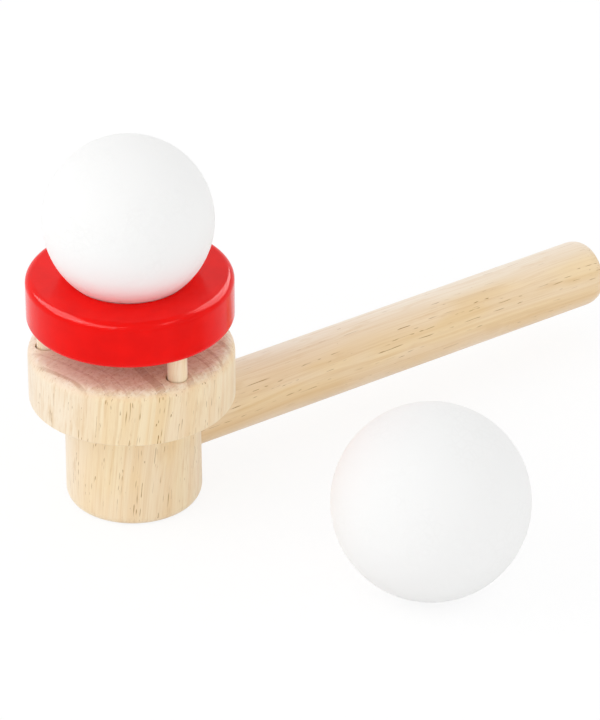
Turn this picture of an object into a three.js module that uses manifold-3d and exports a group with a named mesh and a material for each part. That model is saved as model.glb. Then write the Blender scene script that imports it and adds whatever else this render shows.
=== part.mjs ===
// Blow ball pipe, in millimetres, +Z up.
// A turned wooden head stands on its flat foot and takes a hollow blow stem in its side. The breath
// leaves the head through a jet hole in its top. A painted ring stands over the jet on three pegs,
// and a foam ball sits in the ring until the air lifts it. A larger spare ball lies beside the pipe.
// The origin is the centre of the foot's flat face, and the stem runs along +X.

import * as THREE from "three";
import { mergeVertices } from "three/addons/utils/BufferGeometryUtils.js";
import Module from "manifold-3d";

// Foam balls
const ballRadius = 17.5;
const spareBallRadius = 20.15;
const spareBallAlongStem = 29.5; // from the head's axis, measured along the stem
const spareBallBesideStem = 64.2; // from the stem's axis, measured along the table

// Ring and the seat in it
const seatBite = 5.2; // the ball's radius is this much larger than the hole's
const seatClearance = 0.3; // between the resting ball and the seat
const seatEdgeRadius = 1;
const ringTopEdgeRadius = 1.7;
const ringUnderEdgeRadius = 1.2;
const woodInsidePeg = 2.7; // from the hole to a peg's socket
const woodOutsidePeg = 1.75; // from a peg's socket to the rim
const woodOverPeg = 5.2; // from the end of a peg's socket to the ring's top
const airGap = 5.95; // between the flange's top and the ring's underside

// Pegs
const pegCount = 3;
const firstPegAngle = -90; // degrees about +Z, counted from the stem
const pegRadius = 2.05;
const pegSocketDepth = 5;
const pegSideClearance = 0.25;
const pegEndClearance = 0.3;
const pegEndChamfer = 0.4;

// Head
const flangeTopEdgeRadius = 2.5;
const flangeUnderEdgeRadius = 0.4;
const woodUnderPeg = 7.2; // from the end of a peg's socket to the flange's underside
const woodOverStem = 2.25; // from the stem's socket to the flange's underside
const woodUnderStem = 6.95; // from the stem's socket to the table
const woodBesideStem = 6.85; // foot wall left on each side of the stem's socket
const footTaper = 0.15; // the foot's radius narrows by this much up to the flange
const footEdgeAcross = 1.6; // the foot's lower edge is eased further up than across
const footEdgeAlong = 2.2;

// Air path and blow stem
const jetRadius = 3.2;
const jetMouthChamfer = 0.6;
const jetWallGap = 0.4; // from the jet hole to the end wall of the stem's socket, and to the stem
const stemRadius = 7.2;
const stemWall = 2.2;
const stemReach = 119.1; // from the head's axis to the tip of the mouthpiece
const stemGlueGap = 0.15;
const stemInnerChamfer = 0.5;
const mouthRoundLength = 3.25; // how far back from the tip the mouthpiece starts to round
const mouthLand = 0.4; // flat ring left between the rounding and the bore

// Making: how far cuts run past what they cut, how close points weld, and facet counts
const cutOverrun = 1;
const weldDistance = 0.001;
const turnedFacets = 72;
const stemFacets = 48;
const pegFacets = 20;
const ballFacets = 48;
const ballBands = 26;
const cornerFacets = 4;

// Sizes that follow from those above
const ringHoleRadius = ballRadius - seatBite;
const pegSocketRadius = pegRadius + pegSideClearance;
const pegCircleRadius = ringHoleRadius + woodInsidePeg + pegSocketRadius;
const ringRadius = pegCircleRadius + pegSocketRadius + woodOutsidePeg;
const ringThickness = pegSocketDepth + woodOverPeg;
const flangeRadius = ringRadius; // the two rims are turned to one size
const flangeThickness = pegSocketDepth + woodUnderPeg;
const stemSocketRadius = stemRadius + stemGlueGap;
const stemAxisHeight = woodUnderStem + stemSocketRadius;
const footRadius = stemSocketRadius + woodBesideStem;
const footTopRadius = footRadius - footTaper;
const footHeight = stemAxisHeight + stemSocketRadius + woodOverStem;
const flangeTop = footHeight + flangeThickness;
const ringBottom = flangeTop + airGap;
const ringTop = ringBottom + ringThickness;
const jetSideReach = jetRadius + jetWallGap;

const wood = new THREE.MeshStandardMaterial({ color: 0xe8cfa6, roughness: 0.62, metalness: 0 });
const dowelWood = new THREE.MeshStandardMaterial({ color: 0xe6cda5, roughness: 0.6, metalness: 0 });
const redPaint = new THREE.MeshStandardMaterial({ color: 0xe81c18, roughness: 0.32, metalness: 0 });
const foam = new THREE.MeshStandardMaterial({ color: 0xf6f6f4, roughness: 0.9, metalness: 0 });

const manifold = await Module();
manifold.setup();

function solidOf(geometry) {
  const bare = geometry.clone();
  bare.deleteAttribute("normal");
  bare.deleteAttribute("uv");
  const welded = mergeVertices(bare, weldDistance);
  const mesh = new manifold.Mesh({
    numProp: 3,
    vertProperties: welded.attributes.position.array,
    triVerts: Uint32Array.from(welded.index.array),
  });
  return new manifold.Manifold(mesh);
}

function geometryOf(solid) {
  const mesh = solid.getMesh();
  const geometry = new THREE.BufferGeometry();
  geometry.setAttribute("position", new THREE.BufferAttribute(mesh.vertProperties, mesh.numProp));
  geometry.setIndex(new THREE.BufferAttribute(mesh.triVerts, 1));
  geometry.computeVertexNormals();
  return geometry;
}

function cutAway(body, cutters) {
  return geometryOf(cutters.reduce((left, cutter) => left.subtract(solidOf(cutter)), solidOf(body)));
}

// A profile point: distance from the turning axis, and height along it
function at(radius, height) {
  return new THREE.Vector2(radius, height);
}

// A profile's corner eased to a quarter of an ellipse, which starts at an angle given in degrees
function eased(corner, acrossRadius, alongRadius, fromAngle) {
  const start = THREE.MathUtils.degToRad(fromAngle);
  const outward = Math.sign(Math.cos(start + Math.PI / 4));
  const upward = Math.sign(Math.sin(start + Math.PI / 4));
  return Array.from({ length: cornerFacets + 1 }, (_, step) => {
    const angle = start + (step / cornerFacets) * (Math.PI / 2);
    return at(
      corner.x + acrossRadius * (Math.cos(angle) - outward),
      corner.y + alongRadius * (Math.sin(angle) - upward),
    );
  });
}

// A solid turned about +Z from a profile that runs upwards on its outside
function turned(profile, facets) {
  return new THREE.LatheGeometry(profile, facets).rotateX(Math.PI / 2);
}

// A round cutter that stands on z = 0
function drill(radius, length, facets) {
  return turned([at(0, 0), at(radius, 0), at(radius, length), at(0, length)], facets);
}

// The widening cone at the mouth of a hole that opens upwards at z = 0
function countersink(holeRadius, chamfer, facets) {
  return turned(
    [
      at(0, -chamfer),
      at(holeRadius, -chamfer),
      at(holeRadius + chamfer + cutOverrun, cutOverrun),
      at(0, cutOverrun),
    ],
    facets,
  );
}

function pegPlaces() {
  return Array.from({ length: pegCount }, (_, index) => {
    const angle = THREE.MathUtils.degToRad(firstPegAngle + (360 * index) / pegCount);
    return new THREE.Vector2(Math.cos(angle), Math.sin(angle)).multiplyScalar(pegCircleRadius);
  });
}

function pegSockets(lowest) {
  return pegPlaces().map((spot) =>
    drill(pegSocketRadius, pegSocketDepth + cutOverrun, pegFacets).translate(spot.x, spot.y, lowest),
  );
}

function bowlHead() {
  const blank = turned(
    [
      at(0, 0),
      ...eased(at(footRadius, 0), footEdgeAcross, footEdgeAlong, -90),
      at(footTopRadius, footHeight),
      ...eased(at(flangeRadius, footHeight), flangeUnderEdgeRadius, flangeUnderEdgeRadius, -90),
      ...eased(at(flangeRadius, flangeTop), flangeTopEdgeRadius, flangeTopEdgeRadius, 0),
      at(0, flangeTop),
    ],
    turnedFacets,
  );
  const stemSocket = drill(stemSocketRadius, jetSideReach + footRadius + cutOverrun, stemFacets)
    .rotateY(Math.PI / 2)
    .translate(-jetSideReach, 0, stemAxisHeight);
  const jetHole = drill(jetRadius, flangeTop - stemAxisHeight + cutOverrun, stemFacets)
    .translate(0, 0, stemAxisHeight);
  const jetMouth = countersink(jetRadius, jetMouthChamfer, stemFacets).translate(0, 0, flangeTop);
  const pegHoles = pegSockets(flangeTop - pegSocketDepth);
  return cutAway(blank, [stemSocket, jetHole, jetMouth, ...pegHoles]);
}

function blowStem() {
  const boreRadius = stemRadius - stemWall;
  const roundAcross = stemWall - mouthLand;
  const stemLength = stemReach - jetSideReach;
  const profile = [
    at(boreRadius, 0),
    at(stemRadius - stemInnerChamfer, 0),
    at(stemRadius, stemInnerChamfer),
    ...eased(at(stemRadius, stemLength), roundAcross, mouthRoundLength, 0),
    at(boreRadius, stemLength),
    at(boreRadius, 0),
  ];
  return turned(profile, stemFacets)
    .rotateY(Math.PI / 2)
    .translate(jetSideReach, 0, stemAxisHeight);
}

function ballRing() {
  const blank = turned(
    [
      at(ringHoleRadius, ringBottom),
      ...eased(at(ringRadius, ringBottom), ringUnderEdgeRadius, ringUnderEdgeRadius, -90),
      ...eased(at(ringRadius, ringTop), ringTopEdgeRadius, ringTopEdgeRadius, 0),
      ...eased(at(ringHoleRadius, ringTop), seatEdgeRadius, seatEdgeRadius, 90),
      at(ringHoleRadius, ringBottom),
    ],
    turnedFacets,
  );
  return cutAway(blank, pegSockets(ringBottom - cutOverrun));
}

function ringPeg(spot) {
  const lowest = flangeTop - pegSocketDepth + pegEndClearance;
  const highest = ringBottom + pegSocketDepth - pegEndClearance;
  const length = highest - lowest;
  const profile = [
    at(0, 0),
    at(pegRadius - pegEndChamfer, 0),
    at(pegRadius, pegEndChamfer),
    at(pegRadius, length - pegEndChamfer),
    at(pegRadius - pegEndChamfer, length),
    at(0, length),
  ];
  return turned(profile, pegFacets).translate(spot.x, spot.y, lowest);
}

function ball(radius) {
  return new THREE.SphereGeometry(radius, ballFacets, ballBands).rotateX(Math.PI / 2);
}

// The ball touches the seat's eased edge, so their centres are as far apart as both radii
function seatedBallHeight() {
  const reach = ballRadius + seatClearance + seatEdgeRadius;
  const seatCentreRadius = ringHoleRadius + seatEdgeRadius;
  return ringTop - seatEdgeRadius + Math.sqrt(reach ** 2 - seatCentreRadius ** 2);
}

const toy = new THREE.Group();

function place(name, geometry, material) {
  const mesh = new THREE.Mesh(geometry, material);
  mesh.name = name;
  toy.add(mesh);
  return mesh;
}

place("bowl_head", bowlHead(), wood);
place("blow_stem", blowStem(), dowelWood);
place("ball_ring", ballRing(), redPaint);
pegPlaces().forEach((spot, index) => place(`ring_peg_${index + 1}`, ringPeg(spot), dowelWood));
place("floating_ball", ball(ballRadius), foam).position.set(0, 0, seatedBallHeight());
place("spare_ball", ball(spareBallRadius), foam)
  .position.set(spareBallAlongStem, -spareBallBesideStem, spareBallRadius);

export default toy;
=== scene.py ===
import math

import bmesh
import bpy
import numpy as np
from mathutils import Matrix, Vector, noise


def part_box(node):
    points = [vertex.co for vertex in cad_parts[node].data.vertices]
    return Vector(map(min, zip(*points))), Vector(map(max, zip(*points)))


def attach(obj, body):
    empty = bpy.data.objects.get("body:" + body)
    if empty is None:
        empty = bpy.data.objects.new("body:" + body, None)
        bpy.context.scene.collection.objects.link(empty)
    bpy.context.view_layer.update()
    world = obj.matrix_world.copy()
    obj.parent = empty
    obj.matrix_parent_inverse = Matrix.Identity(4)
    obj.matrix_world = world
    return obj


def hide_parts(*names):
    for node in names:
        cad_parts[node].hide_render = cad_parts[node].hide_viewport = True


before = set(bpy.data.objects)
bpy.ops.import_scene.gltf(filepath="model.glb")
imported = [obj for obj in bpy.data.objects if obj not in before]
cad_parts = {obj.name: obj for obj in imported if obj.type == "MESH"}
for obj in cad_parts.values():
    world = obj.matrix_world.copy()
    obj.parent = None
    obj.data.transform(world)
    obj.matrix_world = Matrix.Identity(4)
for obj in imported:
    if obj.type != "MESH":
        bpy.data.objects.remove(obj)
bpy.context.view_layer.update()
mm = 0.001
print("Frame loaded:", ", ".join(sorted(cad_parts)))


# Camera: the photograph's long lens, looking down on the toy from the left of its stem
cameraSetup = {
    "azimuth": -34.682,  # round the toy; 0 looks along +Y
    "elevation": 30.872,
    "distance": 914.26,
    "aim": (36.379, -8.25, 23.278),
    "lens": 218.5,
    "sensor": 36,
    "nearest": 50,  # nothing nearer or further than these is drawn
    "furthest": 20000,
}


def towards(azimuth, elevation):  # unit vector from the toy to something at that bearing
    turn, rise = math.radians(azimuth), math.radians(elevation)
    return Vector((math.sin(turn) * math.cos(rise), -math.cos(turn) * math.cos(rise), math.sin(rise)))


def addCamera(setup):
    lens = bpy.data.cameras.new("camera")
    lens.lens = setup["lens"]
    lens.sensor_width = setup["sensor"]
    lens.clip_start = setup["nearest"] * mm
    lens.clip_end = setup["furthest"] * mm
    camera = bpy.data.objects.new("camera", lens)
    back = towards(setup["azimuth"], setup["elevation"])
    camera.location = (Vector(setup["aim"]) + back * setup["distance"]) * mm
    camera.rotation_euler = (-back).to_track_quat("-Z", "Y").to_euler()
    bpy.context.scene.collection.objects.link(camera)
    bpy.context.scene.camera = camera


addCamera(cameraSetup)
print("Camera set")


# Small helpers for materials and meshes
def toLinear(hexColour):  # sRGB hex to the linear colour that the shaders take
    parts = [int(hexColour[place:place + 2], 16) / 255 for place in (1, 3, 5)]
    return [part / 12.92 if part <= 0.04045 else ((part + 0.055) / 1.055) ** 2.4 for part in parts] + [1]


def socketInUse(sockets, name=None):  # the first of that name, or the first of all
    return next(each for each in sockets if each.enabled and name in (None, each.name))


def addNode(tree, kind, settings=None, inputs=None):
    # settings are the node's own options; an input takes a node, a socket, a hex colour or a value
    node = tree.nodes.new("ShaderNode" + kind)
    for key, value in (settings or {}).items():
        setattr(node, key, value)
    for key, value in (inputs or {}).items():
        socket = node.inputs[key] if isinstance(key, int) else socketInUse(node.inputs, key)
        if isinstance(value, bpy.types.Node):
            value = socketInUse(value.outputs)
        if isinstance(value, bpy.types.NodeSocket):
            tree.links.new(value, socket)
        else:
            socket.default_value = toLinear(value) if isinstance(value, str) else value
    return node


def newMaterial(name):
    material = bpy.data.materials.new(name)
    material.use_nodes = True
    material.node_tree.nodes.clear()
    return material, material.node_tree


def easedOutline(corners, closed=False, longest=1.2, arcSteps=8, guard=0.12):
    # corners are (radius, height, easing before, easing after); each becomes a quarter of an ellipse.
    # Straight runs get a point every `longest` or closer and one `guard` from each end, so that
    # shading stays smooth
    points, count = [], len(corners)
    for place, (radius, height, before, after) in enumerate(corners):
        here = Vector((radius, height))
        if not before:
            points.append(here)
            continue
        back = (Vector(corners[place - 1][:2]) - here).normalized() * before
        ahead = (Vector(corners[(place + 1) % count][:2]) - here).normalized() * after
        for step in range(arcSteps + 1):
            turn = math.pi / 2 * step / arcSteps
            points.append(here + back * (1 - math.sin(turn)) + ahead * (1 - math.cos(turn)))
    split = []
    for place, point in enumerate(points):
        split.append(point)
        if place + 1 == len(points) and not closed:
            break
        run = points[(place + 1) % len(points)] - point
        length = run.length
        if length > 4 * guard:
            pieces = max(1, math.ceil((length - 2 * guard) / longest))
            stops = [guard + (length - 2 * guard) * step / pieces for step in range(pieces + 1)]
            split += [point + run * stop / length for stop in stops]
    return split


def turnedPiece(name, outline, sides, closed=False):
    # turns an outline of (radius, height) points in millimetres about the piece's own axis
    smallest = 1e-6  # a radius below this is a point on the axis
    mesh = bmesh.new()
    rows = []
    for radius, height in outline:
        around = sides if radius > smallest else 1
        rows.append([
            mesh.verts.new((
                radius * math.cos(2 * math.pi * step / sides) * mm,
                radius * math.sin(2 * math.pi * step / sides) * mm,
                height * mm,
            ))
            for step in range(around)
        ])
    for lower, upper in zip(rows, rows[1:] + (rows[:1] if closed else [])):
        for step in range(sides):
            after = (step + 1) % sides
            corners = [lower[step % len(lower)], lower[after % len(lower)],
                       upper[after % len(upper)], upper[step % len(upper)]]
            corners = list(dict.fromkeys(corners))
            if len(corners) > 2:
                mesh.faces.new(corners)
    bmesh.ops.recalc_face_normals(mesh, faces=mesh.faces)
    data = bpy.data.meshes.new(name)
    mesh.to_mesh(data)
    mesh.free()
    piece = bpy.data.objects.new(name, data)
    bpy.context.scene.collection.objects.link(piece)
    return piece


def moveMesh(piece, offset=(0, 0, 0), layFlat=False):
    # layFlat turns the piece's own axis from +Z to +X before it is moved, in millimetres
    for vertex in piece.data.vertices:
        if layFlat:
            vertex.co = Vector((vertex.co.z, vertex.co.y, -vertex.co.x))
        vertex.co += Vector(offset) * mm


def cutWith(piece, cutters):
    for cutter in cutters:
        cut = piece.modifiers.new("cut", "BOOLEAN")
        cut.operation = "DIFFERENCE"
        cut.solver = "EXACT"
        cut.object = cutter
    bpy.context.view_layer.update()
    whole = piece.evaluated_get(bpy.context.evaluated_depsgraph_get())
    cutMesh = bpy.data.meshes.new_from_object(whole)
    piece.modifiers.clear()
    piece.data = cutMesh
    for cutter in cutters:
        bpy.data.objects.remove(cutter)


def waverSides(piece, depth, size, stretch=3, lean=3):
    # sinks upright faces unevenly by up to `depth`, so the piece never grows; the waves are `stretch`
    # times as long up the piece, and fade out where a face's normal rises past 1 in `lean`
    normals = [vertex.normal.copy() for vertex in piece.data.vertices]
    for vertex, normal in zip(piece.data.vertices, normals):
        x, y, z = vertex.co / mm / size
        share = 0.5 + 0.5 * noise.noise(Vector((x, y, z / stretch)))
        vertex.co -= normal * depth * mm * share * max(0, 1 - lean * abs(normal.z))
    piece.data.update()


def dress(piece, node, body, material, sharpAngle=32):
    piece.data.shade_smooth()
    piece.data.set_sharp_from_angle(angle=math.radians(sharpAngle))
    piece.data.materials.clear()
    piece.data.materials.append(material)
    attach(piece, body)
    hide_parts(node)


def sizeOf(node):  # a node's centre, lowest and highest corner, in millimetres
    low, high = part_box(node)
    return (low + high) / 2 / mm, low / mm, high / mm


# Rubberwood, turned or milled and sanded bare: smooth cream with fine straw streaks along the grain,
# brown open vessels that show as short dashes on the side and as pores in the mottled end grain
# The side towards the key light is painted paler, as painted light and sheen, and the far side can be
# painted deeper, as painted shade
def rubberwood(name, look):
    material, tree = newMaterial(name)
    place = addNode(tree, "TexCoord")
    # millimetres from the head's or the stem's axis, turned so that the grain runs along Z
    fromAxis = addNode(tree, "Mapping", {"vector_type": "POINT"}, {
        "Vector": place.outputs["Object"],
        "Scale": (1 / mm, 1 / mm, 1 / mm),
        "Rotation": [math.radians(turn) for turn in look["grainTurn"]],
        "Location": look["toAxis"],
    })
    grain = addNode(tree, "VectorMath", {"operation": "ADD"}, {0: fromAxis, 1: look["fromPith"]})
    # the fibres sway sideways over a long run
    across, along, reach = look["sway"]
    sway = addNode(tree, "TexNoise", {}, {
        "Vector": addNode(tree, "VectorMath", {"operation": "MULTIPLY"}, {
            0: grain, 1: (1 / across, 1 / across, 1 / along),
        }),
        "Scale": 1.0, "Detail": 1.0,
    })
    grain = addNode(tree, "VectorMath", {"operation": "MULTIPLY_ADD"}, {
        0: sway.outputs["Color"], 1: (reach, reach, 0), 2: grain,
    })
    # and ripple in and out of the surface, which cuts each vessel open for a short way only
    across, along, reach = look["ripple"]
    ripple = addNode(tree, "TexNoise", {}, {
        "Vector": addNode(tree, "VectorMath", {"operation": "MULTIPLY"}, {
            0: grain, 1: (1 / across, 1 / across, 1 / along),
        }),
        "Scale": 1.0, "Detail": 1.0,
    })
    cutOpen = addNode(tree, "VectorMath", {"operation": "MULTIPLY_ADD"}, {
        0: addNode(tree, "VectorMath", {"operation": "NORMALIZE"}, {
            0: addNode(tree, "VectorMath", {"operation": "MULTIPLY"}, {0: fromAxis, 1: (1, 1, 0)}),
        }),
        1: addNode(tree, "Math", {"operation": "MULTIPLY"}, {0: ripple, 1: reach}),
        2: grain,
    })

    def streaks(patch, share, detail=2.0):
        # a share that rises where noise, of a size across and along the grain, passes from low to high
        across, along, low, high = patch
        cloud = addNode(tree, "TexNoise", {}, {
            "Vector": addNode(tree, "VectorMath", {"operation": "MULTIPLY_ADD"}, {
                0: grain, 1: (1 / across, 1 / across, 1 / along), 2: (across, along, across),
            }),
            "Scale": 1.0, "Detail": detail, "Roughness": 0.6,
        })
        return addNode(tree, "MapRange", {"interpolation_type": "SMOOTHSTEP"}, {
            "Value": cloud, "From Min": low, "From Max": high, "To Min": 0, "To Max": share,
        })

    # growth zones are rings round the pith, uneven and faint
    pith = addNode(tree, "VectorMath", {"operation": "LENGTH"}, {
        0: addNode(tree, "VectorMath", {"operation": "MULTIPLY"}, {0: grain, 1: (1, 1, 0)}),
    })
    zones = addNode(tree, "TexNoise", {"noise_dimensions": "1D"}, {
        "W": addNode(tree, "Math", {"operation": "DIVIDE"}, {0: pith, 1: look["zoneWidth"]}),
        "Scale": 1.0, "Detail": 3.0, "Roughness": 0.65,
    })
    zoneLow, zoneHigh = look["zoneRange"]
    side = addNode(tree, "Mix", {"data_type": "RGBA"}, {
        "Factor": addNode(tree, "MapRange", {"interpolation_type": "SMOOTHSTEP"}, {
            "Value": zones, "From Min": zoneLow, "From Max": zoneHigh,
        }),
        "A": look["pale"], "B": look["straw"],
    })
    fibres = streaks(look["fibrePatch"], look["fibreShare"])  # real fibres are finer: drawn to show
    # painted light and shade: the side towards the light is painted paler, standing in for its light and
    # sheen, and the other side is painted a little deeper as painted shade
    towardsLight = addNode(tree, "VectorMath", {"operation": "DOT_PRODUCT"}, {
        0: fromAxis, 1: look["paintedLightTowards"],
    })
    inner, outer = look["paintedLightSide"]
    paintedLightSide = addNode(tree, "MapRange", {"interpolation_type": "SMOOTHSTEP"}, {
        "Value": towardsLight, "From Min": inner, "From Max": outer, "To Min": 0, "To Max": look["paintedLightShare"],
    })
    # painted shade: the far side is painted deeper
    inner, outer = look["paintedShadeSide"]
    paintedShadeSide = addNode(tree, "MapRange", {"interpolation_type": "SMOOTHSTEP"}, {
        "Value": towardsLight, "From Min": inner, "From Max": outer, "To Min": 0, "To Max": look["paintedShadeShare"],
    })
    layers = (
        (paintedLightSide, look["paintedLightCream"]),
        (paintedShadeSide, look["paintedShadeTan"]),
        (streaks(look["blushPatch"], look["blushShare"]), look["blush"]),
        (streaks(look["streakPatch"], look["streakShare"]), look["tan"]),
        (fibres, look["tan"]),
        (streaks(look["stainPatch"], look["stainShare"]), look["tan"]),
    )
    for share, colour in layers:
        side = addNode(tree, "Mix", {"data_type": "RGBA"}, {"Factor": share, "A": side, "B": colour})

    # vessels are tubes along the grain, one to a cell, and some cells stay empty
    cells = addNode(tree, "TexVoronoi", {"voronoi_dimensions": "2D"}, {
        "Vector": cutOpen, "Scale": 1 / look["vesselSpacing"], "Randomness": 1.0,
    })
    chance = addNode(tree, "SeparateColor", {}, {0: cells.outputs["Color"]})
    reach = addNode(tree, "MapRange", {}, {
        "Value": chance.outputs["Red"], "From Min": 1 - look["vesselShare"], "From Max": 1,
        "To Min": look["thinnest"], "To Max": look["vesselWidth"] / 2 / look["vesselSpacing"],
    })
    depth = addNode(tree, "Math", {"operation": "MULTIPLY_ADD", "use_clamp": True}, {
        0: addNode(tree, "Math", {"operation": "DIVIDE"}, {0: cells.outputs["Distance"], 1: reach}),
        1: -look["vesselEdge"], 2: look["vesselEdge"],
    })
    tone = addNode(tree, "MapRange", {}, {
        "Value": chance.outputs["Green"], "To Min": look["faintest"], "To Max": 1,
    })
    tubes = addNode(tree, "Math", {"operation": "MULTIPLY"}, {0: depth, 1: tone})
    # they come in clusters, and fade in and out along their run
    dashes = addNode(tree, "Math", {"operation": "MULTIPLY"}, {
        0: tubes, 1: streaks(look["clusterPatch"], look["dashShare"], detail=1.0),
    })
    side = addNode(tree, "Mix", {"data_type": "RGBA"}, {
        "Factor": dashes, "A": side, "B": look["vessel"],
    })

    # end grain soaks up more of the light: pores, mottling, and light scratches from the sander
    end = addNode(tree, "Mix", {"data_type": "RGBA"}, {
        "Factor": streaks(look["mottlePatch"], 1.0, detail=5.0), "A": look["endPale"], "B": look["endDark"],
    })
    lineLow, lineHigh = look["lineRange"]
    growthLine = addNode(tree, "MapRange", {"interpolation_type": "SMOOTHSTEP"}, {
        "Value": zones, "From Min": lineLow, "From Max": lineHigh, "To Min": 0, "To Max": look["lineShare"],
    })
    pores = addNode(tree, "Math", {"operation": "MULTIPLY"}, {0: tubes, 1: look["poreShare"]})
    sanded = addNode(tree, "Mapping", {"vector_type": "POINT"}, {
        "Vector": place.outputs["Object"],
        "Scale": (1 / mm, 1 / mm, 1 / mm),
        "Rotation": (0, 0, math.radians(-look["sandingTurn"])),
    })
    length, width, scratchLow, scratchHigh = look["scratchPatch"]
    scratches = addNode(tree, "TexNoise", {}, {
        "Vector": addNode(tree, "VectorMath", {"operation": "MULTIPLY"}, {
            0: sanded, 1: (1 / length, 1 / width, 1),
        }),
        "Scale": 1.0, "Detail": 2.0,
    })
    scratched = addNode(tree, "MapRange", {"interpolation_type": "SMOOTHSTEP"}, {
        "Value": scratches, "From Min": scratchLow, "From Max": scratchHigh,
        "To Min": 0, "To Max": look["scratchShare"],
    })
    # the end grain's lit side is painted paler too, as painted light
    endPaintedLight = addNode(tree, "Math", {"operation": "MULTIPLY"}, {0: paintedLightSide, 1: look["endPaintedLightShare"]})
    layers = (
        (endPaintedLight, look["paintedLightCream"]),
        (growthLine, look["endLine"]),
        (pores, look["vessel"]),
        (scratched, look["endScratch"]),
    )
    for share, colour in layers:
        end = addNode(tree, "Mix", {"data_type": "RGBA"}, {"Factor": share, "A": end, "B": colour})
    # a face shows end grain as it turns square to the grain
    facing = addNode(tree, "SeparateXYZ", {}, {0: place.outputs["Normal"]})
    sideUpTo, endFrom = look["endTurn"]
    endOn = addNode(tree, "MapRange", {"interpolation_type": "SMOOTHSTEP"}, {
        "Value": addNode(tree, "Math", {"operation": "ABSOLUTE"}, {0: facing.outputs[look["grainAxis"]]}),
        "From Min": sideUpTo, "From Max": endFrom,
    })
    colour = addNode(tree, "Mix", {"data_type": "RGBA"}, {"Factor": endOn, "A": side, "B": end})

    # vessels lie a little below the raised fibres
    relief = addNode(tree, "Math", {"operation": "MULTIPLY_ADD"}, {
        0: dashes, 1: -look["vesselDepth"], 2: fibres,
    })
    bump = addNode(tree, "Bump", {}, {
        "Height": relief, "Strength": look["reliefStrength"], "Distance": look["relief"] * mm,
    })
    shader = addNode(tree, "BsdfPrincipled", {}, {
        "Base Color": colour, "Normal": bump,
        "Roughness": look["roughness"], "IOR": 1.5, "Specular IOR Level": look["specular"],
        "Sheen Weight": look["nap"], "Sheen Roughness": 0.5,
    })
    addNode(tree, "OutputMaterial", {}, {"Surface": shader})
    return material


# A patch is a pattern's size across and along the grain, and the noise values between which it rises
turnedWoodLook = {
    "grainTurn": (-2.9, -4.2, 0),  # the grain leans a little in the blank
    "grainAxis": "Z",
    "toAxis": (0, 0, 0),  # brings the axis to 0 after that turn
    "fromPith": (52, 6, 9),  # the blank is cut well away from the pith, so the growth lines are flat arcs
    "paintedLightTowards": (-0.822, 0.569, 0),  # the side towards the key light on the left, painted paler as painted light
    "paintedLightSide": (5, 17),  # and how far out from the axis it does so
    "paintedLightShare": 0.6,
    "endPaintedLightShare": 0.7,  # how much of that painted light the end grain shows
    "paintedShadeSide": (-3, -12),  # likewise for the painted shade on the far side
    "paintedShadeShare": 0,
    "sway": (14, 40, 3),  # size across and along the grain, and how far the fibres move
    "ripple": (1.1, 6, 2.4),
    "zoneWidth": 3.4,
    "zoneRange": (0.38, 0.64),  # noise values between which straw takes over from pale
    "blushPatch": (9, 30, 0.42, 0.64),
    "blushShare": 0.4,
    "streakPatch": (0.55, 50, 0.48, 0.72),
    "streakShare": 0.35,
    "fibrePatch": (0.3, 16, 0.42, 0.72),
    "fibreShare": 0.16,
    "stainPatch": (2.2, 8, 0.56, 0.76),
    "stainShare": 0.3,
    "vesselSpacing": 0.72,
    "vesselWidth": 0.34,
    "vesselShare": 1.0,  # the share of the cells that hold one
    "thinnest": 0.001,  # what is left of a vessel in an empty cell
    "vesselEdge": 2.2,  # how sharply a vessel ends at its rim
    "faintest": 0.3,  # tone of the palest vessel, where the darkest has 1
    "clusterPatch": (2.4, 7, 0.36, 0.58),
    "dashShare": 1.0,
    "mottlePatch": (1.1, 1.1, 0.36, 0.66),
    "poreShare": 0.7,
    "lineRange": (0.54, 0.6),
    "lineShare": 0.45,
    "sandingTurn": 10,
    "scratchPatch": (7, 0.32, 0.52, 0.7),  # here the size is along and across the sander's run
    "scratchShare": 0.4,
    "endTurn": (0.5, 0.87),  # the normal's share along the grain where side ends and end grain is full
    "relief": 0.04,
    "reliefStrength": 0.3,
    "vesselDepth": 0.25,
    "roughness": 0.45,
    "specular": 0.24,
    "nap": 0.4,  # fibre ends raised by sanding catch the light at grazing angles
    "pale": "#F9E5C0",
    "straw": "#F4D9AC",
    "blush": "#F5DFC4",
    "paintedLightCream": "#F9ECDA",
    "paintedShadeTan": "#E2BB8A",
    "tan": "#DDB781",
    "vessel": "#9A6A06",
    "endPale": "#F9EFD4",
    "endDark": "#E5D0AC",
    "endLine": "#BC9268",
    "endScratch": "#FDF6EC",
}

dowelWoodLook = dict(
    turnedWoodLook,
    grainTurn=(0, -90, 0),
    grainAxis="X",
    toAxis=(14.3, 0, 0),
    fromPith=(31, 24, 57),
    # the stem's top, a little towards the back, is painted paler as a painted sheen, and its underside is
    # painted deeper as painted shade
    paintedLightTowards=(-0.93, 0.36, 0),
    paintedLightSide=(3.2, 7.2),
    paintedLightShare=0.9,
    paintedShadeSide=(0, -6),
    paintedShadeShare=0.4,
    zoneWidth=4,
    blushShare=0.5,
    vesselSpacing=0.8,
    vesselWidth=0.3,
    vesselShare=0.75,
    dashShare=0.9,
    specular=0.42,
    pale="#F6DCB1",
    straw="#EDCD9A",
)

pegWoodLook = dict(
    turnedWoodLook,
    fromPith=(12, 40, 5),
    paintedLightShare=0,
    zoneWidth=4,
    dashShare=0.2,
    streakShare=0.3,
    pale="#FDF0D8",
    straw="#F8E4C0",
)


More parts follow.
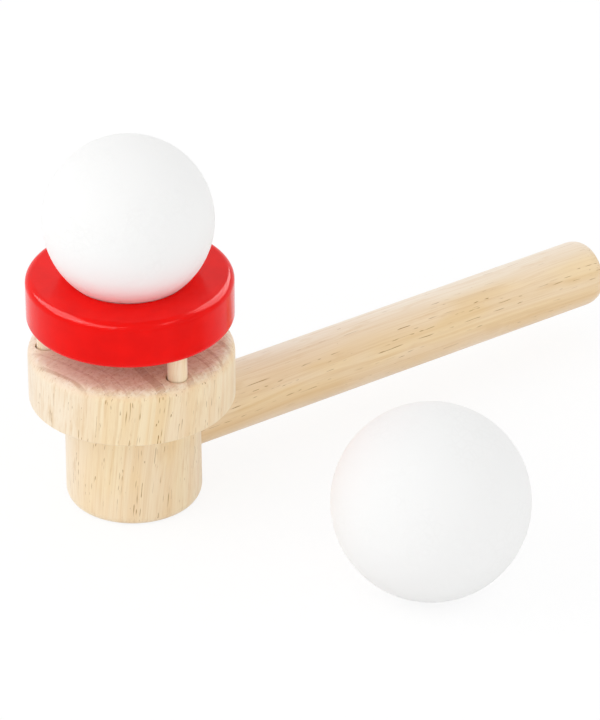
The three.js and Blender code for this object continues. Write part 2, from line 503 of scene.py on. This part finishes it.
# Toy lacquer, dipped over sanded wood: an even signal red with a soft gloss; the grain lifts it slightly
def redLacquer(name, look):
    material, tree = newMaterial(name)
    place = addNode(tree, "TexCoord").outputs["Object"]
    tone = addNode(tree, "TexNoise", {}, {"Vector": place, "Scale": 1 / (look["patch"] * mm), "Detail": 3.0})
    low, high = look["patchRange"]
    colour = addNode(tree, "Mix", {"data_type": "RGBA"}, {
        "Factor": addNode(tree, "MapRange", {}, {"Value": tone, "From Min": low, "From Max": high}),
        "A": look["red"], "B": look["deep"],
    })
    peel = addNode(tree, "TexNoise", {}, {"Vector": place, "Scale": 1 / (look["peel"] * mm), "Detail": 2.0})
    across, along = look["grain"]
    grain = addNode(tree, "TexNoise", {}, {
        "Vector": addNode(tree, "VectorMath", {"operation": "DIVIDE"}, {
            0: place, 1: (across * mm, across * mm, along * mm),
        }),
        "Scale": 1.0, "Detail": 2.0,
    })
    bump = addNode(tree, "Bump", {}, {
        "Height": addNode(tree, "Math", {"operation": "ADD"}, {0: peel, 1: grain}),
        "Strength": look["reliefStrength"], "Distance": look["relief"] * mm,
    })
    shader = addNode(tree, "BsdfPrincipled", {}, {
        "Base Color": colour, "Normal": bump,
        "Roughness": look["roughness"], "IOR": 1.5, "Specular IOR Level": look["specular"],
    })
    addNode(tree, "OutputMaterial", {}, {"Surface": shader})
    return material


redLacquerLook = {
    "red": "#F30600",
    "deep": "#E90400",
    "patch": 6,
    "patchRange": (0.38, 0.68),  # noise values between which the coat deepens
    "peel": 1.1,
    "grain": (0.7, 9),  # size across and along the grain under the coat
    "relief": 0.035,
    "reliefStrength": 0.6,
    "roughness": 0.13,
    "specular": 0.12,
}


# Expanded polystyrene, moulded in a hot ball mould: matt white, with the beads' joints barely showing
def expandedPolystyrene(name, look):
    material, tree = newMaterial(name)
    place = addNode(tree, "TexCoord").outputs["Object"]
    cells = addNode(tree, "TexVoronoi", {"feature": "DISTANCE_TO_EDGE"}, {
        "Vector": place, "Scale": 1 / (look["bead"] * mm), "Randomness": 1.0,
    })
    seams = addNode(tree, "MapRange", {"interpolation_type": "SMOOTHSTEP"}, {
        "Value": cells, "From Min": 0, "From Max": look["seamShare"], "To Min": 1, "To Max": 0,
    })
    patches = addNode(tree, "TexNoise", {}, {
        "Vector": place, "Scale": 1 / (look["patch"] * mm), "Detail": 2.0,
    })
    low, high = look["patchRange"]
    shown = addNode(tree, "MapRange", {"interpolation_type": "SMOOTHSTEP"}, {
        "Value": patches, "From Min": low, "From Max": high,
    })
    lines = addNode(tree, "Math", {"operation": "MULTIPLY"}, {0: seams, 1: shown})
    colour = addNode(tree, "Mix", {"data_type": "RGBA"}, {
        "Factor": lines, "A": look["white"], "B": look["seam"],
    })
    bump = addNode(tree, "Bump", {"invert": True}, {
        "Height": lines, "Strength": look["reliefStrength"], "Distance": look["relief"] * mm,
    })
    shader = addNode(tree, "BsdfPrincipled", {}, {
        "Base Color": colour, "Normal": bump,
        "Roughness": look["roughness"], "IOR": 1.5, "Specular IOR Level": look["specular"],
        "Subsurface Weight": look["depthShare"], "Subsurface Scale": look["depth"] * mm,
        "Subsurface Radius": (1, 1, 1),
    })
    addNode(tree, "OutputMaterial", {}, {"Surface": shader})
    return material


foamLook = {
    "white": "#FAFAF9",
    "seam": "#F8F8F7",
    "bead": 1.9,
    "seamShare": 0.14,  # of a bead's size
    "patch": 11,
    "patchRange": (0.5, 0.66),  # noise values between which the seams come out
    "relief": 0.008,
    "reliefStrength": 0.3,
    "roughness": 0.7,
    "specular": 0.2,
    "depthShare": 0.3,  # the share of the light that goes in under the surface
    "depth": 1.5,  # and how far away it comes out
}

turnedWood = rubberwood("turnedRubberwood", turnedWoodLook)
dowelWood = rubberwood("milledRubberwoodDowel", dowelWoodLook)
pegWood = rubberwood("milledRubberwoodPeg", pegWoodLook)
redPaint = redLacquer("dippedRedLacquer", redLacquerLook)
foam = expandedPolystyrene("mouldedExpandedPolystyrene", foamLook)
print("Materials made")


# Drilled holes: a cutter's mouth is at height 0, and may be eased to the face that it opens in
drillLook = {"sides": 96, "easingSteps": 4, "overrun": 1}
pegNumbers = (1, 2, 3)


def drill(name, radius, depth, easing=0, overrun=drillLook["overrun"]):
    points = [Vector((0, -depth)), Vector((radius, -depth)), Vector((radius, -easing))]
    if easing:
        for step in range(1, drillLook["easingSteps"] + 1):
            turn = math.pi / 2 * step / drillLook["easingSteps"]
            points.append(Vector((radius + easing * (1 - math.cos(turn)), -easing * (1 - math.sin(turn)))))
    points += [Vector((radius + easing, overrun)), Vector((0, overrun))]
    return turnedPiece(name, points, drillLook["sides"])


def pegSockets(look, mouth, drift=Vector((0, 0, 0)), fromBelow=False):  # one over each peg
    sockets = []
    for number in pegNumbers:
        spot = sizeOf(f"ring_peg_{number}")[0]
        socket = drill("pegSocket", look["pegSocketRadius"], look["pegSocketDepth"], look["pegSocketEasing"])
        if fromBelow:
            for vertex in socket.data.vertices:
                vertex.co.z = -vertex.co.z
            socket.data.flip_normals()
        moveMesh(socket, (spot.x + drift.x, spot.y + drift.y, mouth))
        sockets.append(socket)
    return sockets


# Head: a foot and a flange turned in one piece, with the stem's socket, the jet hole and the pegs' sockets
headLook = {
    "sides": 256,
    "footRadius": 14.2,
    "footTopRadius": 14.05,
    "footHeight": 23.9,
    "footEasing": (1.6, 2.2),  # across and up
    "innerEasing": 0.25,
    "flangeUnderEasing": 0.4,
    "flangeTopEasing": 2.5,
    "stemAxisHeight": 14.3,
    "stemSocketRadius": 7.23,  # the glue fills the rest
    "socketEnd": 3.6,  # how far the stem's socket runs past the jet's axis
    "jetRadius": 3.2,
    "jetEasing": 0.6,
    "pegSocketRadius": 2.26,
    "pegSocketDepth": 5,
    "pegSocketEasing": 0.1,
    "drift": 0.2,  # the drilled sockets lie this far off the pegs
    "driftBearing": 190,
    "waver": 0.03,  # how deep the turned face is uneven, in waves of the size below
    "waverSize": 9,
}


def makeHead(look):
    high = sizeOf("bowl_head")[2]
    foot, footHeight = look["footRadius"], look["footHeight"]
    inner, under, upper = look["innerEasing"], look["flangeUnderEasing"], look["flangeTopEasing"]
    head = turnedPiece("turned_head", easedOutline([
        (0, 0, 0, 0),
        (foot, 0, *look["footEasing"]),
        (look["footTopRadius"], footHeight, inner, inner),
        (high.x, footHeight, under, under),
        (high.x, high.z, upper, upper),
        (0, high.z, 0, 0),
    ]), look["sides"])
    waverSides(head, look["waver"], look["waverSize"])
    stemSocket = drill("stemSocket", look["stemSocketRadius"], foot + look["socketEnd"], overrun=foot)
    moveMesh(stemSocket, layFlat=True)
    moveMesh(stemSocket, (foot, 0, look["stemAxisHeight"]))
    jet = drill("jet", look["jetRadius"], high.z - look["stemAxisHeight"], look["jetEasing"])
    moveMesh(jet, (0, 0, high.z))
    turn = math.radians(look["driftBearing"])
    drift = Vector((math.cos(turn), math.sin(turn), 0)) * look["drift"]
    cutters = [stemSocket, jet] + pegSockets(look, high.z, drift)
    cutWith(head, cutters)
    dress(head, "bowl_head", "pipe", turnedWood)


makeHead(headLook)
print("Head turned and drilled")


# Blow stem: a hollow dowel with a rounded mouthpiece, glued into the foot
stemLook = {
    "sides": 160,
    "boreRadius": 5,
    "innerChamfer": 0.5,
    "mouthLength": 3.25,  # how far back from the tip the rounding starts
    "mouthLand": 0.4,  # flat ring left between the rounding and the bore
    "mouthSteps": 14,
    "boreEasing": 0.3,
}


def makeStem(look):
    centre, low, high = sizeOf("blow_stem")
    radius, bore, chamfer = (high.z - low.z) / 2, look["boreRadius"], look["innerChamfer"]
    across = radius - bore - look["mouthLand"]
    stem = turnedPiece("blow_stem_dowel", easedOutline([
        (bore, low.x, 0, 0),
        (radius - chamfer, low.x, 0, 0),
        (radius, low.x + chamfer, 0, 0),
        (radius, high.x, look["mouthLength"], across),
        (bore, high.x, look["boreEasing"], look["boreEasing"]),
    ], closed=True, arcSteps=look["mouthSteps"]), look["sides"], closed=True)
    moveMesh(stem, layFlat=True)
    moveMesh(stem, (0, 0, centre.z))
    dress(stem, "blow_stem", "pipe", dowelWood)


makeStem(stemLook)
print("Stem made")


# Ring: turned with rounded rims and a narrow seat that fits the ball, then lacquered
ringLook = {
    "sides": 256,
    "holeRadius": 12.3,
    "topEasing": 1.7,
    "underEasing": 1.2,
    "seatEasing": (0.3, 0.15),  # across the top and down the seat
    "seatGap": 0.05,  # between the seat and the resting ball
    "holeUnderEasing": 0.3,
    "pegSocketRadius": 2.15,
    "pegSocketDepth": 5,
    "pegSocketEasing": 0.1,
    "waver": 0.03,
    "waverSize": 12,
}


def makeRing(look):
    low, high = sizeOf("ball_ring")[1:]
    ballCentre, ballLow = sizeOf("floating_ball")[:2]
    reach = ballCentre.z - ballLow.z + look["seatGap"]  # from the ball's centre to the seat
    hole = look["holeRadius"]
    seatRadius = math.sqrt(reach ** 2 - (ballCentre.z - high.z) ** 2)
    seatHeight = ballCentre.z - math.sqrt(reach ** 2 - hole ** 2)
    upper, under = look["topEasing"], look["underEasing"]
    ring = turnedPiece("painted_ring", easedOutline([
        (hole, low.z, look["holeUnderEasing"], look["holeUnderEasing"]),
        (high.x, low.z, under, under),
        (high.x, high.z, upper, upper),
        (seatRadius, high.z, *look["seatEasing"]),
        (hole, seatHeight, 0, 0),
    ], closed=True), look["sides"], closed=True)
    waverSides(ring, look["waver"], look["waverSize"])
    cutWith(ring, pegSockets(look, low.z, fromBelow=True))
    dress(ring, "ball_ring", "pipe", redPaint)


makeRing(ringLook)
print("Ring turned and painted")


# Pegs: short dowels with chamfered ends
pegLook = {
    "sides": 64,
    "chamfer": 0.4,
    "longest": 0.8,  # run between two rows of points
    "sharpAngle": 40,
}


def makePeg(number, look):
    centre, low, high = sizeOf(f"ring_peg_{number}")
    radius, chamfer = (high.y - low.y) / 2, look["chamfer"]
    peg = turnedPiece(f"ring_peg_dowel_{number}", easedOutline([
        (0, low.z, 0, 0),
        (radius - chamfer, low.z, 0, 0),
        (radius, low.z + chamfer, 0, 0),
        (radius, high.z - chamfer, 0, 0),
        (radius - chamfer, high.z, 0, 0),
        (0, high.z, 0, 0),
    ], longest=look["longest"]), look["sides"])
    moveMesh(peg, (centre.x, centre.y, 0))
    dress(peg, f"ring_peg_{number}", "pipe", pegWood, look["sharpAngle"])


for pegNumber in pegNumbers:
    makePeg(pegNumber, pegLook)
print("Pegs made")


# Balls: beads fused in a mould; in patches the skin wrinkles up to a tenth of a millimetre deep, and the
# beads' joints show as fainter lines
ballLook = {
    "splits": 7,  # how often a 20-sided ball's faces are split
    "beadSpacing": 2.9,
    "packing": 0.87,  # the share of a square of that side that one bead takes up
    "strayShare": 0.24,  # how far beads stray from an even spiral, as a share of the spacing
    "jointWidth": 0.32,
    "jointDepth": 0.012,
    "wrinkleSize": 1.6,
    "wrinkleWarp": 2,  # size of the noise that bends the wrinkles
    "wrinkleSharpness": 4,
    "wrinkleDepth": 0.09,
    "patchSize": 9,  # joints and wrinkles come out in patches of about this size
    "fineness": 2.3,  # a second noise, finer by this factor, makes the patches' edges uneven
    "fineShare": 0.5,  # and has this share of the first one's strength
    "patchBase": 0.15,  # how much shows where the noise is 0, and how fast that rises with it
    "patchGain": 2,
    "swell": 0.05,
    "swellSize": 14,
    "seed": 7,  # of the beads' places and the bends of the wrinkles
    "sharpAngle": 180,
}


def makeBall(name, node, body, look):
    centre, low, high = sizeOf(node)
    radius = (high.z - low.z) / 2
    mesh = bmesh.new()
    bmesh.ops.create_icosphere(mesh, subdivisions=look["splits"], radius=1)
    data = bpy.data.meshes.new(name)
    mesh.to_mesh(data)
    mesh.free()
    rays = np.zeros(len(data.vertices) * 3)
    data.vertices.foreach_get("co", rays)
    rays = rays.reshape(-1, 3)
    # bead centres on a spiral over the ball, shaken so that no row shows
    chance = np.random.default_rng(look["seed"] + int(radius))
    count = int(4 * math.pi * radius ** 2 / (look["packing"] * look["beadSpacing"] ** 2))
    step = np.arange(count) + 0.5
    height = 1 - 2 * step / count
    turn = step * math.pi * (3 - math.sqrt(5))  # the golden angle
    flat = np.sqrt(1 - height ** 2)
    beads = np.stack([flat * np.cos(turn), flat * np.sin(turn), height], 1)
    beads += chance.normal(0, look["strayShare"] * look["beadSpacing"] / radius, beads.shape)
    beads /= np.linalg.norm(beads, axis=1)[:, None]
    nearest = np.sort(np.arccos(np.clip(rays @ beads.T, -1, 1)) * radius, axis=1)[:, :2]
    joint = np.exp(-((nearest[:, 1] - nearest[:, 0]) / 2 / look["jointWidth"]) ** 2)
    noise.seed_set(look["seed"])  # without it noise_vector differs from run to run
    sunk = np.empty(len(rays))
    for index, ray in enumerate(rays):
        place = Vector(ray) * radius + Vector((look["seed"], 0, radius))
        finer = noise.noise(place / look["patchSize"] * look["fineness"])
        patch = noise.noise(place / look["patchSize"]) + look["fineShare"] * finer
        shown = min(1, max(0, look["patchBase"] + look["patchGain"] * patch))
        warp = noise.noise_vector(place / look["wrinkleWarp"])
        fold = abs(noise.noise(place / look["wrinkleSize"] + warp))
        wrinkle = 1 - min(1, fold * look["wrinkleSharpness"])
        swell = 0.5 + 0.5 * noise.noise(place / look["swellSize"])
        sunk[index] = (look["jointDepth"] * joint[index] * shown + look["swell"] * swell
                       + look["wrinkleDepth"] * wrinkle * shown)
    middle = np.array(centre)
    data.vertices.foreach_set("co", ((rays * (radius - sunk)[:, None] + middle) * mm).ravel())
    ball = bpy.data.objects.new(name, data)
    bpy.context.scene.collection.objects.link(ball)
    dress(ball, node, body, foam, look["sharpAngle"])


makeBall("foam_ball", "floating_ball", "floating_ball", ballLook)
makeBall("spare_foam_ball", "spare_ball", "spare_ball", ballLook)
print("Balls moulded")


# Stage: a white table that keeps a faint shadow, and soft studio light
stageLook = {
    "half": 1600,  # half the table's side
    "tableWhite": "#F5F5F5",
    "shadowShare": 0.2,  # how much of the table's own light the camera sees beside plain white
    "glow": 1.045,  # brightness of the plain white
    "horizon": 1.17,  # brightness of the studio's white walls at table height
    "zenith": 0.685,  # and overhead
}


def addStage(look):
    half = look["half"] * mm
    data = bpy.data.meshes.new("table")
    corners = [(-half, -half, 0), (half, -half, 0), (half, half, 0), (-half, half, 0)]
    data.from_pydata(corners, [], [(0, 1, 2, 3)])
    table = bpy.data.objects.new("table", data)
    bpy.context.scene.collection.objects.link(table)
    material, tree = newMaterial("tablePaper")
    world = bpy.data.worlds.new("studio")
    world.use_nodes = True
    world.node_tree.nodes.clear()
    bpy.context.scene.world = world
    seen = []  # in each tree, 1 where the camera, a mirror or glass sees the background
    for each in (tree, world.node_tree):
        path = addNode(each, "LightPath")
        mirrored = addNode(each, "Math", {"operation": "MAXIMUM"}, {
            0: path.outputs["Is Glossy Ray"], 1: path.outputs["Is Transmission Ray"],
        })
        seen.append(addNode(each, "Math", {"operation": "MAXIMUM"}, {
            0: path.outputs["Is Camera Ray"], 1: mirrored,
        }))
    shown = addNode(tree, "MixShader", {}, {
        0: addNode(tree, "Math", {"operation": "MULTIPLY"}, {0: seen[0], 1: 1 - look["shadowShare"]}),
        1: addNode(tree, "BsdfDiffuse", {}, {"Color": look["tableWhite"]}),
        2: addNode(tree, "Emission", {}, {"Color": "#FFFFFF", "Strength": look["glow"]}),
    })
    addNode(tree, "OutputMaterial", {}, {"Surface": shown})
    data.materials.append(material)
    heading = addNode(world.node_tree, "SeparateXYZ", {}, {
        0: addNode(world.node_tree, "TexCoord").outputs["Generated"],
    })
    walls = addNode(world.node_tree, "MapRange", {}, {
        "Value": heading.outputs["Z"], "To Min": look["horizon"], "To Max": look["zenith"],
    })
    room = addNode(world.node_tree, "MixShader", {}, {
        0: seen[1],
        1: addNode(world.node_tree, "Background", {}, {"Color": "#FFFFFF", "Strength": walls}),
        2: addNode(world.node_tree, "Background", {}, {"Color": "#FFFFFF", "Strength": 1.0}),
    })
    addNode(world.node_tree, "OutputWorld", {}, {"Surface": room})


# Lamps: bearings follow the camera's scheme, and radiance 1 is as bright as white paper. The cards shine
# on the ring alone, where its gloss shows them as long soft lights along the rim; they stand high, so
# that the ring's flat top doesn't mirror them in low views
lamps = {
    "window": {"azimuth": -106, "elevation": 44, "distance": 900, "size": (600, 600), "radiance": 1.25},
    "fill": {"azimuth": 10, "elevation": 18, "distance": 1200, "size": (1300, 420), "radiance": 0.2},
}
cards = {
    "leftBox": {"azimuth": -135, "elevation": 46, "distance": 900, "size": (880, 600), "radiance": 8.5},
    "frontBox": {"azimuth": -76, "elevation": 42, "distance": 900, "size": (760, 440), "radiance": 6.5},
    "cornerBox": {"azimuth": 14, "elevation": 47, "distance": 900, "size": (260, 160), "radiance": 7},
    "rightBox": {"azimuth": 100, "elevation": 40, "distance": 900, "size": (800, 620), "radiance": 6.8},
}


def addLamp(name, setup):
    data = bpy.data.lights.new(name, "AREA")
    data.shape = "RECTANGLE"
    data.size, data.size_y = (side * mm for side in setup["size"])
    data.energy = setup["radiance"] * math.pi * data.size * data.size_y
    lamp = bpy.data.objects.new(name, data)
    back = towards(setup["azimuth"], setup["elevation"])
    lamp.location = back * setup["distance"] * mm
    lamp.rotation_euler = (-back).to_track_quat("-Z", "Y").to_euler()
    bpy.context.scene.collection.objects.link(lamp)
    return lamp


def addCards(setups, litPiece):
    litPieces = bpy.data.collections.new("lacquered")
    litPieces.objects.link(bpy.data.objects[litPiece])
    for name, setup in setups.items():
        card = addLamp(name, setup)
        card.visible_diffuse = False
        card.light_linking.receiver_collection = litPieces


addStage(stageLook)
for lampName, lampSetup in lamps.items():
    addLamp(lampName, lampSetup)
addCards(cards, "painted_ring")
bpy.context.scene.view_settings.view_transform = "Standard"
print("Stage and lamps set")
